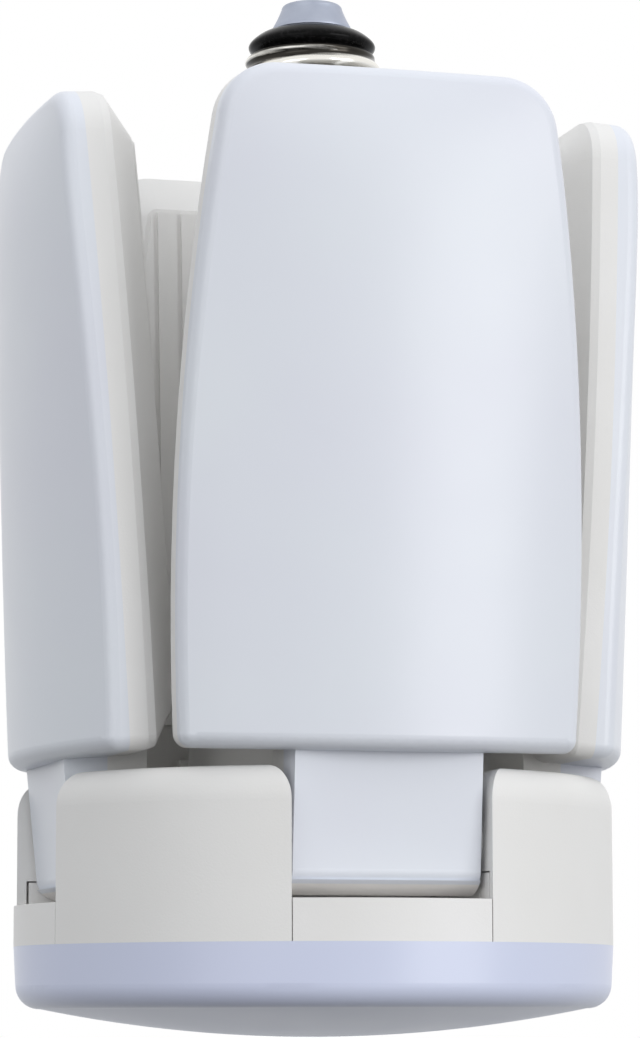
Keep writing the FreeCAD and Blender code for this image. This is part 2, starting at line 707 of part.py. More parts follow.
def neck_prism(wall):
    half = NECK_HALF - wall
    top = LEAF_FOOT + COVER_WALL + 0.5 + wall
    slope = (NECK_FACE_TOP - NECK_FACE_FOOT) / (LEAF_FOOT - NECK_ROUND_Z)
    face_top = NECK_FACE_FOOT + slope * (top - NECK_ROUND_Z)
    back = RIM_OUT - (1.0 if wall else 0.0)
    end = NECK_END_Z + wall
    turn_in = NECK_FACE_FOOT - NECK_ROUND_IN
    mid_out = NECK_FACE_FOOT - wall - (1 - DIAGONAL) * NECK_ROUND_IN
    mid_z = NECK_ROUND_Z - DIAGONAL * (NECK_ROUND_H - wall)
    arc_mid = V(-half, -mid_out, mid_z)
    start = V(-half, -back, end)
    curve = V(-half, -turn_in, end)
    stop = V(-half, -(NECK_FACE_FOOT - wall), NECK_ROUND_Z)
    edges = [Part.makeLine(start, curve), Part.Arc(curve, arc_mid, stop).toShape()]
    edges.append(Part.makeLine(stop, V(-half, -(face_top - wall), top)))
    edges.append(Part.makeLine(V(-half, -(face_top - wall), top), V(-half, -back, top)))
    edges.append(Part.makeLine(V(-half, -back, top), start))
    return Part.Face(Part.Wire(edges)).extrude(V(2 * half, 0, 0))


def neck_tongue():
    # closes the slot's view under the neck; round about the pin, so that it swings clear
    top = NECK_END_Z + COVER_WALL / 2
    back = PIN_OUT + TONGUE_BACK
    room = block(-NECK_HALF, NECK_HALF, -PIN_OUT - TONGUE_R, -back, PIN_Z - TONGUE_R, top)
    return cross_rod(TONGUE_R, -NECK_HALF, NECK_HALF, PIN_OUT, PIN_Z).common(room)


def cover():
    outer = joined([leaned(rounded_cover()), neck_prism(0.0), neck_tongue()])
    inner = joined([leaned(cover_block(COVER_WALL, 1.0)), neck_prism(COVER_WALL)])
    tray_room = leaned(block(-LEAF_HALF, LEAF_HALF, 0, LEAF_SIDE, 0, 10))
    body = outer.cut(inner).cut(tray_room)
    notch_r = BOSS_R + BOARD_FIT
    notch = cross_rod(notch_r, -NECK_HALF - 1, NECK_HALF + 1, PIN_OUT, PIN_Z)
    return body.cut(notch)


def leaf_board():
    inset = TRAY_WALL + BOARD_FIT
    board = slab(inset, BOARD_BACK - BOARD_THICK, BOARD_BACK, inset + 1.0)
    bore = SCREW_R + SCREW_HOLE_FIT
    holes = [Part.makeCylinder(bore, BOARD_THICK + 2, V(x, BOARD_BACK - BOARD_THICK - 1, z), V(0, 1, 0))
             for x, z in leaf_post_places()]
    return leaned(board.cut(Part.makeCompound(holes)))


def leaf_chips():
    chips = []
    face = BOARD_BACK - BOARD_THICK
    middle = LEAF_LENGTH / 2 - 1.0
    for row in range(CHIP_ROWS):
        z = middle + (row - (CHIP_ROWS - 1) / 2) * CHIP_PITCH_W
        for column in range(CHIP_COLUMNS):
            x = (column - (CHIP_COLUMNS - 1) / 2) * CHIP_PITCH_U
            low, high = z - CHIP_W / 2, z + CHIP_W / 2
            chips.append(leaned(block(x - CHIP_L / 2, x + CHIP_L / 2, face - CHIP_H, face, low, high)))
    return chips


def leaf_screws():
    face = BOARD_BACK - BOARD_THICK
    screws = []
    for x, z in leaf_post_places():
        head = Part.makeCylinder(HEAD_R, HEAD_H, V(x, face - HEAD_H, z), V(0, 1, 0))
        shank = Part.makeCylinder(SCREW_R, LEAF_SCREW_L, V(x, face, z), V(0, 1, 0))
        screws.append(leaned(head.fuse(shank).removeSplitter()))
    return screws


def export_leaf(side, quarter):
    export(side + "_leaf_tray", [turned_quarter(tray(), quarter)])
    export(side + "_leaf_cover", [turned_quarter(cover(), quarter)])
    export(side + "_leaf_led_board", [turned_quarter(leaf_board(), quarter)])
    export(side + "_leaf_led_chips", [turned_quarter(chip, quarter) for chip in leaf_chips()])
    export(side + "_leaf_board_screws", [turned_quarter(screw, quarter) for screw in leaf_screws()])
    export(side + "_hinge_pin", [turned_quarter(hinge_pin(), quarter)])
    export(side + "_hinge_washers", [turned_quarter(washer, quarter) for washer in hinge_washers()])


def main():
    os.makedirs("parts", exist_ok=True)
    export("centre_contact", [contact()])
    export("contact_insulator", [insulator()])
    export("screw_shell", [screw_shell()])
    export("driver_column", [column_shape()])
    export("driver_board", [driver_board()])
    export("driver_transformer", [transformer()])
    export("driver_capacitors", capacitors())
    export("driver_inductor", [inductor()])
    export("driver_rectifier", [rectifier()])
    export("hub_shell", [hub_shape()])
    export("base_ring", [base_ring()])
    export("lower_led_board", [disc_board()])
    export("lower_led_chips", disc_chips())
    export("lower_diffuser", [lens()])
    flange_top = DECK_TOP + COLUMN_FLANGE_H
    export("column_screws", [screw_down(px, py, flange_top, COLUMN_SCREW_L)
                             for px, py in column_screw_places()])
    x, y = hub_post_place()
    export("base_ring_screws", all_round(screw_up(x, y, 0.0, RING_SCREW_L)))
    export("lower_board_screws", [screw_up(px, py, -DISC_THICK, DISC_SCREW_L)
                                  for px, py in disc_screw_places()])
    for quarter, side in enumerate(SIDES):
        export_leaf(side, quarter)


main()
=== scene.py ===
"""Looks of the foldable four-leaf garage lamp, dressed over its CAD frame.

Row frame, metres: z = 0 is the top of the cap's centre contact, the lamp hangs below it,
-Y is the front leaf's side and +X the right leaf's side.
"""

import math

import bmesh
import bpy
from bpy.props import FloatProperty, FloatVectorProperty, PointerProperty
from mathutils import Matrix, Vector


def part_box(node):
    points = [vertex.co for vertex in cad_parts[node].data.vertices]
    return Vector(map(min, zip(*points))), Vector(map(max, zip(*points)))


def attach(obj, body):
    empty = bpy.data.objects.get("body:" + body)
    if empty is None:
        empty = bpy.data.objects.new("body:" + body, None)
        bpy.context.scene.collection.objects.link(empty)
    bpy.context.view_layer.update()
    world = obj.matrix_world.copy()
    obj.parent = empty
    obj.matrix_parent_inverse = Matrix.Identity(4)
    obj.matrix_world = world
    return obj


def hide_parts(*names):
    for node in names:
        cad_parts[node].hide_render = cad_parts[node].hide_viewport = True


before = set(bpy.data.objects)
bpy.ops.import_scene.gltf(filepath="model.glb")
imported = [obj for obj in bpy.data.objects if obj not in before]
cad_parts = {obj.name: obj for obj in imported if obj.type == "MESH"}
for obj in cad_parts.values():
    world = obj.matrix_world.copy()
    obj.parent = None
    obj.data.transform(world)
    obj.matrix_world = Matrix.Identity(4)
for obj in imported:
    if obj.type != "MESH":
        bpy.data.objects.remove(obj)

bl_info = {
    "name": "Foldable garage lamp",
    "version": (1, 0, 0),
    "blender": (4, 5, 0),
    "location": "View3D > Sidebar > Garage lamp",
    "description": "Dresses the foldable four-leaf garage lamp and its studio",
    "category": "Object",
}

SIDES = ("front", "right", "back", "left")

# The photograph's camera, fitted to the hub's seam and wall tops, the outlines and the cap.
PHOTO_HEIGHT = 1038
FOCAL_PIXELS = 3886.5
CAMERA_DISTANCE = 0.732
CAMERA_DROP = 0.19385
CAMERA_LEFT = math.radians(15.256)
CAMERA_RIGHT_TURN = math.radians(0.109)
CAMERA_UP_TILT = math.radians(7.319)
CAMERA_ROLL = math.radians(-0.112)
SENSOR_HEIGHT = 36.0

# The studio's softboxes: place and width in metres. They face the middle of the lamp.
KEY_PLACE = (1.15, -1.6, 0.15)
KEY_WIDTH = 1.2
FILL_PLACE = (-1.4, -1.5, 0.2)
FILL_WIDTH = 1.4
LAMP_MIDDLE = (0.0, 0.0, -0.1)

WHITE = (1.0, 1.0, 1.0)
FLOOR_WHITE = (0.94, 0.94, 0.94)

# Depths of the finishes' relief.
FINE_RELIEF = 0.00002
SOFT_RELIEF = 0.00003
DEEP_RELIEF = 0.00004

# Details of the screw cap.
SHELL_LIP = 0.0003
SHELL_LIP_DIP = 0.0001
SHELL_LIP_DEPTH = 0.0006
SHELL_TOP_INSET = 0.0016
SHELL_SHOULDER = 0.001
SKIRT_WALL = 0.0005
THREAD_TOP_FADE = 4.0
THREAD_FADE_CURVE = 0.6
BELL_START = 0.0002
BELL_FLAT_INSET = 0.0006
BELL_TUCK = 0.0010
BELL_FOOT_INSET = 0.0012
BELL_FOOT_DEPTH = 0.0004
BELL_CURVE = ((0.0026, 0.12), (0.0014, 0.27), (0.0004, 0.45), (0.0, 0.60), (0.0002, 0.74))
BELL_TUCK_SHARE = 0.90
CONTACT_EDGE = 0.0002
CONTACT_BAND = 0.0005
CONTACT_SLOPE_GAP = 0.0009
CONTACT_SLOPE_OUT = 0.00045
CONTACT_HOLLOW = 0.00006
CONTACT_ROUND_INSET = 0.0004
CONTACT_ROUND = 0.00085
CONTACT_FLAT_SHARE = 0.45


# ---- shader maths ----------------------------------------------------------------------------

class Wire:
    """One output socket of a finish's node tree, with arithmetic."""

    def __init__(self, finish, socket):
        self.finish = finish
        self.socket = socket

    def maths(self, operation, first, second=0.0):
        return self.finish.maths(operation, first, second)

    def __add__(self, other):
        return self.maths("ADD", self, other)

    __radd__ = __add__

    def __sub__(self, other):
        return self.maths("SUBTRACT", self, other)

    def __rsub__(self, other):
        return self.maths("SUBTRACT", other, self)

    def __mul__(self, other):
        return self.maths("MULTIPLY", self, other)

    __rmul__ = __mul__

    def __pow__(self, other):
        return self.maths("POWER", self, other)

    def between(self, low, high):
        """This value, held between low and high."""
        return self.maths("MINIMUM", self.maths("MAXIMUM", self, low), high)


class Finish:
    """A material under construction, or a world if its collection is given."""

    def __init__(self, name, blocks=None):
        self.material = (bpy.data.materials if blocks is None else blocks).new(name)
        self.material.use_nodes = True
        self.tree = self.material.node_tree
        self.tree.nodes.clear()

    def node(self, kind, settings=None, inputs=None, output=0):
        """Adds a node, sets its settings, feeds its sockets and returns one of its outputs."""
        made = self.tree.nodes.new(kind)
        for key, value in (settings or {}).items():
            setattr(made, key, value)
        for key, value in (inputs or {}).items():
            socket = made.inputs[key]
            if isinstance(value, Wire):
                self.tree.links.new(value.socket, socket)
            elif socket.type == "RGBA":
                socket.default_value = (*value[:3], 1.0)
            else:
                socket.default_value = value
        return Wire(self, made.outputs[output]) if len(made.outputs) else made

    def maths(self, operation, first, second=0.0):
        return self.node("ShaderNodeMath", {"operation": operation}, {0: first, 1: second})

    def place(self):
        """The point's place on the resting object."""
        return self.node("ShaderNodeTexCoord", output="Object")

    def along(self, axis):
        """One coordinate of the point's place: 0 for X, 1 for Y, 2 for Z."""
        return self.node("ShaderNodeSeparateXYZ", inputs={0: self.place()}, output=axis)

    def seen(self):
        """1 for what the camera, mirrors and glass see, 0 for the light that things receive."""
        share = self.node("ShaderNodeLightPath", output="Is Camera Ray")
        for ray in ("Is Glossy Ray", "Is Transmission Ray"):
            share = self.maths("MAXIMUM", share, self.node("ShaderNodeLightPath", output=ray))
        return share

    def noise(self, scale, detail=3.0, where=None):
        inputs = {"Vector": where or self.place(), "Scale": scale, "Detail": detail}
        return self.node("ShaderNodeTexNoise", inputs=inputs)

    def stretched(self, factors):
        """The point's place with each axis scaled, for a grain with a direction."""
        settings = {"operation": "MULTIPLY"}
        return self.node("ShaderNodeVectorMath", settings, {0: self.place(), 1: factors})

    def blend(self, share, first, second):
        """A colour between first and second."""
        settings = {"data_type": "RGBA", "clamp_factor": True}
        inputs = {"Factor": share, 6: first, 7: second}
        return self.node("ShaderNodeMix", settings, inputs, output=2)

    def bump(self, height, depth):
        inputs = {"Height": height, "Distance": depth, "Strength": 1.0}
        return self.node("ShaderNodeBump", inputs=inputs)

    def surface(self, **sockets):
        """Ends the finish in a Principled surface with these sockets, underscores for spaces."""
        inputs = {key.replace("_", " "): value for key, value in sockets.items()}
        shader = self.node("ShaderNodeBsdfPrincipled", inputs=inputs)
        self.node("ShaderNodeOutputMaterial", inputs={"Surface": shader})
        return self.material


# ---- finishes --------------------------------------------------------------------------------

def moulded_plastic(name, colour, shade, roughness, grain):
    """Satin moulded plastic: faint cloudiness, a fine spark-eroded grain, uneven gloss."""
    finish = Finish(name)
    cloud = finish.noise(38.0, 2.0)
    fine = finish.noise(2600.0, 2.0)
    base = finish.blend((cloud - 0.35) * 1.6, shade, colour)
    gloss = cloud * 0.10 + fine * 0.06 + (roughness - 0.08)
    return finish.surface(Base_Color=base, Roughness=gloss, Normal=finish.bump(fine, grain),
                          Specular_IOR_Level=0.42, IOR=1.49)


def milky_plastic(name, colour, shade, roughness, foot=None, foot_painted_lift_colour=None):
    """Opal light cover: smooth, cool white, faintly cloudy inside; below foot its colour is painted
    lighter and warmer, a painted lift of the shade under the neck.
    """
    finish = Finish(name)
    cloud = finish.noise(24.0, 2.0)
    ripple = finish.noise(75.0, 1.0)
    base = finish.blend((cloud - 0.3) * 1.5, shade, colour)
    if foot is not None:
        # Painted light: below the foot the colour turns a lighter, warmer white than the cover,
        # lifting the shade under the neck.
        base = finish.blend((foot - finish.along(2)) * 4000.0, base, foot_painted_lift_colour)
    gloss = ripple * 0.08 + (roughness - 0.04)
    return finish.surface(Base_Color=base, Roughness=gloss, Normal=finish.bump(ripple, SOFT_RELIEF),
                          Specular_IOR_Level=0.45, IOR=1.58)


def bright_nickel():
    """Plated brass: its colour is painted near-black towards the thread's roots as a painted dark
    reflection, bright on the crests, with random streaks and grime.
    """
    finish = Finish("bright nickel")
    look = sizes()
    east = finish.along(0)
    north = finish.along(1)
    radius = (east * east + north * north) ** 0.5
    height = (radius - look.root_radius) * (1.0 / (look.crest_radius - look.root_radius))
    streaks = finish.noise(260.0, 3.0, finish.stretched((0.25, 0.25, 5.0)))
    grime = finish.noise(420.0, 4.0)
    # Painted dark reflection: the colour goes near-black in the thread's roots, by radius, mixed
    # with random streaks and grime.
    painted_reflection_and_grime = (height * 2.0 + streaks * 3.6 + grime * 0.6 - 2.6).between(0.0, 1.0)
    base = finish.blend(painted_reflection_and_grime, (0.035, 0.032, 0.028), (0.86, 0.84, 0.79))
    return finish.surface(Base_Color=base, Metallic=1.0, Roughness=grime * 0.16 + 0.10,
                          Normal=finish.bump(streaks, DEEP_RELIEF))


def satin_contact():
    finish = Finish("satin contact metal")
    turned = finish.noise(1500.0, 2.0, finish.stretched((1.0, 1.0, 14.0)))
    cloud = finish.noise(200.0, 3.0)
    base = finish.blend(cloud, (0.34, 0.37, 0.46), (0.50, 0.54, 0.63))
    return finish.surface(Base_Color=base, Metallic=0.65, Roughness=turned * 0.14 + 0.36,
                          Normal=finish.bump(turned, FINE_RELIEF))


def black_glass():
    finish = Finish("black cap glass")
    ripple = finish.noise(260.0, 2.0)
    speck = finish.noise(1400.0, 2.0)
    base = finish.blend((speck - 0.5) * 4.0, (0.003, 0.003, 0.003), (0.012, 0.011, 0.012))
    return finish.surface(Base_Color=base, Roughness=ripple * 0.08 + 0.14, Specular_IOR_Level=0.07,
                          Normal=finish.bump(ripple, SOFT_RELIEF))


def plated_steel(name, colour):
    finish = Finish(name)
    brushed = finish.noise(1800.0, 3.0, finish.stretched((1.0, 6.0, 1.0)))
    cloud = finish.noise(320.0, 3.0)
    dull = tuple(0.72 * part for part in colour)
    base = finish.blend(cloud, dull, colour)
    return finish.surface(Base_Color=base, Metallic=1.0, Roughness=brushed * 0.2 + 0.24,
                          Normal=finish.bump(brushed, FINE_RELIEF))


def light_board_coat():
    finish = Finish("white board coat")
    cloud = finish.noise(120.0, 3.0)
    fine = finish.noise(2000.0, 2.0)
    base = finish.blend(cloud, (0.78, 0.78, 0.75), (0.88, 0.88, 0.86))
    return finish.surface(Base_Color=base, Roughness=fine * 0.15 + 0.35,
                          Normal=finish.bump(fine, FINE_RELIEF))


def phosphor():
    finish = Finish("yellow phosphor")
    fine = finish.noise(3000.0, 3.0)
    base = finish.blend(fine, (0.86, 0.68, 0.20), (0.94, 0.80, 0.36))
    return finish.surface(Base_Color=base, Roughness=fine * 0.2 + 0.3,
                          Normal=finish.bump(fine, SOFT_RELIEF))


def circuit_laminate():
    finish = Finish("green laminate")
    weave = finish.noise(900.0, 2.0)
    tracks = finish.noise(160.0, 0.0, finish.stretched((4.0, 1.0, 1.0)))
    share = ((tracks - 0.5) * 30.0).between(0.0, 1.0)
    base = finish.blend(share, (0.012, 0.10, 0.035), (0.03, 0.18, 0.07))
    return finish.surface(Base_Color=base, Roughness=weave * 0.1 + 0.3,
                          Normal=finish.bump(share, SOFT_RELIEF))


def component_plastic(name, colour, shade):
    finish = Finish(name)
    cloud = finish.noise(600.0, 3.0)
    base = finish.blend(cloud, shade, colour)
    return finish.surface(Base_Color=base, Roughness=cloud * 0.2 + 0.35,
                          Normal=finish.bump(cloud, SOFT_RELIEF))


# ---- meshes ----------------------------------------------------------------------------------

def sizes():
    return bpy.context.scene.garage_lamp


def smooth(mesh, angle=None):
    """Shades smooth, and keeps creases sharper than the angle, in degrees."""
    mesh.polygons.foreach_set("use_smooth", [True] * len(mesh.polygons))
    if angle is not None:
        mesh.set_sharp_from_angle(angle=math.radians(angle))


def add_mesh(name, vertices, faces, crease=None):
    mesh = bpy.data.meshes.new(name)
    mesh.from_pydata(vertices, [], faces)
    builder = bmesh.new()
    builder.from_mesh(mesh)
    bmesh.ops.remove_doubles(builder, verts=builder.verts, dist=1e-6)
    bmesh.ops.recalc_face_normals(builder, faces=builder.faces)
    builder.to_mesh(mesh)
    builder.free()
    smooth(mesh, crease)
    thing = bpy.data.objects.new(name, mesh)
    bpy.context.scene.collection.objects.link(thing)
    return thing


def turns(around):
    """The angles of the points round a ring."""
    return [2 * math.pi * step / around for step in range(around)]


def ring_points(radius, height, around):
    return [(radius * math.cos(turn), radius * math.sin(turn), height) for turn in turns(around)]


def bands(rings, around, closed=False):
    """The faces between rings of points, and from the last ring to the first if closed."""
    faces = []
    for ring in range(rings if closed else rings - 1):
        low, high = ring * around, (ring + 1) % rings * around
        for step in range(around):
            ahead = (step + 1) % around
            faces.append((low + step, low + ahead, high + ahead, high + step))
    return faces


def lathe(name, outline, around, crease):
    """Turns an outline of (radius, height) points round the axis; a radius of 0 closes it."""
    vertices = []
    for radius, height in outline:
        vertices += ring_points(radius, height, around)
    return add_mesh(name, vertices, bands(len(outline), around), crease)


def arc_points(centre, radius, start, end, count):
    """Points of an arc in an outline, angles in degrees."""
    points = []
    for step in range(count + 1):
        turn = math.radians(start + (end - start) * step / count)
        points.append((centre[0] + radius * math.cos(turn), centre[1] + radius * math.sin(turn)))
    return points


def smooth_line(points, steps):
    """Points of a smooth curve through the given points of an outline."""
    line = []
    last = len(points) - 1
    for index in range(last):
        near = [min(max(index + shift, 0), last) for shift in (-1, 0, 1, 2)]
        p0, p1, p2, p3 = (Vector(points[place]) for place in near)
        for step in range(steps):
            t = step / steps
            sway = (p2 - p0) * t + (2 * p0 - 5 * p1 + 4 * p2 - p3) * t ** 2
            sway += (3 * p1 - p0 - 3 * p2 + p3) * t ** 3
            line.append(tuple(p1 + sway / 2))
    return line + [tuple(points[last])]


def paint(thing, material):
    thing.data.materials.clear()
    thing.data.materials.append(material)


def dress_node(node, material, crease=30):
    """Gives a CAD piece its finish and smooth shading; its shape stays."""
    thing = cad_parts[node]
    paint(thing, material)
    smooth(thing.data, crease)
    return thing


def stand_in(thing, node, body, material):
    """A modelled piece takes the place of the CAD piece on the same body."""
    paint(thing, material)
    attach(thing, body)
    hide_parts(node)


# ---- screw cap -------------------------------------------------------------------------------

def thread_radius(turn, height, top, foot):
    """Radius of the rolled thread at an angle and height; it fades out at both ends."""
    look = sizes()
    middle = (look.crest_radius + look.root_radius) / 2
    swing = (look.crest_radius - look.root_radius) / 2
    wave = math.sin(2 * math.pi * height / look.thread_pitch - turn + look.thread_start)
    fade_top = min(max(THREAD_TOP_FADE * (top - height) / look.thread_pitch, 0.0), 1.0)
    fade_foot = min(max((height - foot) / look.thread_pitch, 0.0), 1.0)
    fade = min(fade_top, fade_foot) ** THREAD_FADE_CURVE
    rest = look.root_radius if fade_top < fade_foot else look.skirt_radius
    shaped = middle + swing * wave
    return rest + (shaped - rest) * fade


def screw_shell_mesh():
    look = sizes()
    foot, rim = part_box("screw_shell")
    around, rings = 144, 110
    skirt_top = foot.z + look.skirt_height
    thread_top = rim.z - SHELL_LIP
    heights = [foot.z + (thread_top - foot.z) * step / rings for step in range(rings + 1)]
    vertices = []
    for height in heights:
        for turn in turns(around):
            radius = look.skirt_radius
            if height > skirt_top:
                radius = thread_radius(turn, height, thread_top, skirt_top)
            vertices.append((radius * math.cos(turn), radius * math.sin(turn), height))
    inner = look.root_radius - SHELL_TOP_INSET
    skirt_inner = look.skirt_radius - SKIRT_WALL
    lip = arc_points((look.root_radius - SHELL_LIP, thread_top), SHELL_LIP, 0, 90, 6)[1:]
    lip += [(inner, rim.z - SHELL_LIP_DIP), (inner, rim.z - SHELL_LIP_DEPTH)]
    inside = [(inner, skirt_top + SHELL_SHOULDER), (skirt_inner, skirt_top), (skirt_inner, foot.z)]
    for radius, height in lip + inside:
        vertices += ring_points(radius, height, around)
    faces = bands(len(vertices) // around, around, closed=True)
    return add_mesh("threaded_screw_shell", vertices, faces, 50)


def insulator_mesh():
    """A glossy bell: it swells from the contact's foot to its rim and tucks in on the shell."""
    look = sizes()
    low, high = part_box("contact_insulator")
    _, shell_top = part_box("screw_shell")
    contact_foot = look.contact_foot_radius
    tuck = look.root_radius - BELL_TUCK
    foot = tuck - BELL_FOOT_INSET
    drop = high.z - shell_top.z
    knots = [(contact_foot + BELL_START, high.z)]
    for inset, share in BELL_CURVE:
        knots.append((look.insulator_rim_radius - inset, high.z - share * drop))
    knots += [(tuck + BELL_START, high.z - BELL_TUCK_SHARE * drop), (tuck, shell_top.z)]
    outline = [(0.0, high.z), (contact_foot - BELL_FLAT_INSET, high.z)] + smooth_line(knots, 4)
    outline += [(foot, shell_top.z - BELL_FOOT_DEPTH), (foot, low.z), (0.0, low.z)]
    return lathe("black_cap_insulator", outline[::-1], 128, 40)


def contact_mesh():
    """A frustum with a slightly hollow slope and a rounded top edge."""
    look = sizes()
    foot_z = -look.contact_height
    top = look.contact_top_radius
    foot = look.contact_foot_radius
    outline = [(0.0, foot_z), (foot - CONTACT_EDGE, foot_z), (foot, foot_z + CONTACT_EDGE),
               (foot, foot_z + CONTACT_BAND)]
    slope_start = (foot - CONTACT_EDGE, foot_z + CONTACT_SLOPE_GAP)
    slope_end = (top + CONTACT_SLOPE_OUT, -CONTACT_SLOPE_GAP)
    for step in range(7):
        share = step / 6
        sink = math.sin(share * math.pi) * CONTACT_HOLLOW
        outline.append((slope_start[0] + (slope_end[0] - slope_start[0]) * share - sink,
                        slope_start[1] + (slope_end[1] - slope_start[1]) * share - sink))
    corner = (top - CONTACT_ROUND_INSET, -CONTACT_SLOPE_GAP)
    outline += arc_points(corner, CONTACT_ROUND, 5, 90, 6)
    outline += [(top * CONTACT_FLAT_SHARE, 0.0), (0.0, 0.0)]
    return lathe("satin_centre_contact", outline, 96, 40)


def dress_cap():
    stand_in(screw_shell_mesh(), "screw_shell", "lamp_body", bright_nickel())
    stand_in(insulator_mesh(), "contact_insulator", "lamp_body", black_glass())
    stand_in(contact_mesh(), "centre_contact", "lamp_body", satin_contact())


# ---- body ------------------------------------------------------------------------------------

def dress_hub():
    look = sizes()
    shade = look.housing_shade
    white = moulded_plastic("warm white housing", look.housing_colour, shade, 0.46, FINE_RELIEF)
    ring = moulded_plastic("white base ring", look.ring_colour, shade, 0.44, FINE_RELIEF)
    dress_node("hub_shell", white)
    dress_node("driver_column", white)
    dress_node("base_ring", ring)


def dress_hinges():
    pin = plated_steel("ground pin steel", (0.60, 0.60, 0.61))
    nylon = component_plastic("plain nylon", (0.74, 0.74, 0.72), (0.62, 0.62, 0.60))
    for side in SIDES:
        dress_node(side + "_hinge_pin", pin)
        dress_node(side + "_hinge_washers", nylon)


def dress_lower_lamp():
    look = sizes()
    milky = milky_plastic("milky lower lens", look.lens_colour, look.lens_shade, 0.30)
    dress_node("lower_diffuser", milky)
    dress_node("lower_led_board", light_board_coat())
    dress_node("lower_led_chips", phosphor())


def dress_driver():
    dress_node("driver_board", circuit_laminate())
    amber = component_plastic("amber winding tape", (0.55, 0.38, 0.08), (0.42, 0.27, 0.05))
    dress_node("driver_transformer", amber)
    sleeve = component_plastic("capacitor sleeve", (0.03, 0.03, 0.05), (0.015, 0.015, 0.03))
    dress_node("driver_capacitors", sleeve)
    ferrite = component_plastic("painted ferrite", (0.10, 0.24, 0.16), (0.06, 0.17, 0.11))
    dress_node("driver_inductor", ferrite)
    black = component_plastic("black package", (0.02, 0.02, 0.02), (0.012, 0.012, 0.012))
    dress_node("driver_rectifier", black)


def dress_screws():
    zinc = plated_steel("zinc plated steel", (0.66, 0.66, 0.65))
    names = ["column_screws", "base_ring_screws", "lower_board_screws"]
    names += [side + "_leaf_board_screws" for side in SIDES]
    for name in names:
        dress_node(name, zinc)


# ---- leaves ----------------------------------------------------------------------------------

def dress_leaves():
    look = sizes()
    low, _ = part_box("front_leaf_cover")
    milky = milky_plastic("milky leaf cover", look.cover_colour, look.cover_shade, 0.34,
                          low.z + look.tongue_height, look.tongue_painted_lift_colour)
    white = moulded_plastic("warm white tray", look.tray_colour, look.housing_shade, 0.44,
                            FINE_RELIEF)
    coat = light_board_coat()
    yellow = phosphor()
    for side in SIDES:
        dress_node(side + "_leaf_cover", milky)
        dress_node(side + "_leaf_tray", white)
        dress_node(side + "_leaf_led_board", coat)
        dress_node(side + "_leaf_led_chips", yellow)


# ---- stage -----------------------------------------------------------------------------------

def floor_finish():
    """Pale to the camera, mirrors and glass; it bounces less light up under the lamp."""
    finish = Finish("pale studio floor")
    look = sizes()
    base = finish.blend(finish.seen(), (look.floor_bounce,) * 3, FLOOR_WHITE)
    return finish.surface(Base_Color=base, Roughness=0.9, Specular_IOR_Level=0.1)


def add_floor():
    look = sizes()
    low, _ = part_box("lower_diffuser")
    half = look.floor_size / 2
    height = low.z - look.floor_drop
    corners = [(east * half, north * half, height)
               for east, north in ((-1, -1), (1, -1), (1, 1), (-1, 1))]
    floor = add_mesh("studio_floor", corners, [(0, 1, 2, 3)])
    paint(floor, floor_finish())


def light_world():
    """White where it is seen, and the room's tinted light on everything else."""
    look = sizes()
    world = Finish("studio white", bpy.data.worlds)
    bpy.context.scene.world = world.material
    light = {"Color": look.sky_colour, "Strength": look.sky_level}
    lit = world.node("ShaderNodeBackground", inputs=light)
    shown = world.node("ShaderNodeBackground", inputs={"Color": WHITE})
    mix = world.node("ShaderNodeMixShader", inputs={0: world.seen(), 1: lit, 2: shown})
    world.node("ShaderNodeOutputWorld", inputs={"Surface": mix})


def add_softbox(name, place, width, power):
    """A square area lamp that faces the middle of the object."""
    light = bpy.data.lights.new(name, "AREA")
    light.shape = "SQUARE"
    light.size = width
    light.energy = power
    holder = bpy.data.objects.new(name, light)
    direction = Vector(LAMP_MIDDLE) - Vector(place)
    holder.location = place
    holder.rotation_euler = direction.to_track_quat("-Z", "Y").to_euler()
    bpy.context.scene.collection.objects.link(holder)


def add_camera():
    lens = bpy.data.cameras.new("photo camera")
    lens.sensor_fit = "VERTICAL"
    lens.sensor_height = SENSOR_HEIGHT
    lens.lens = FOCAL_PIXELS * lens.sensor_height / PHOTO_HEIGHT
    lens.clip_start = 0.01
    lens.clip_end = 50.0
    camera = bpy.data.objects.new("photo camera", lens)
    place = Vector((-math.sin(CAMERA_LEFT), -math.cos(CAMERA_LEFT), 0.0)) * CAMERA_DISTANCE
    place.z = -CAMERA_DROP
    turn = Matrix.Rotation(-(CAMERA_LEFT + CAMERA_RIGHT_TURN), 4, "Z")
    tilt = Matrix.Rotation(math.radians(90) + CAMERA_UP_TILT, 4, "X")
    roll = Matrix.Rotation(CAMERA_ROLL, 4, "Z")
    camera.matrix_world = Matrix.Translation(place) @ turn @ tilt @ roll
    bpy.context.scene.collection.objects.link(camera)
    bpy.context.scene.camera = camera


# ---- settings --------------------------------------------------------------------------------

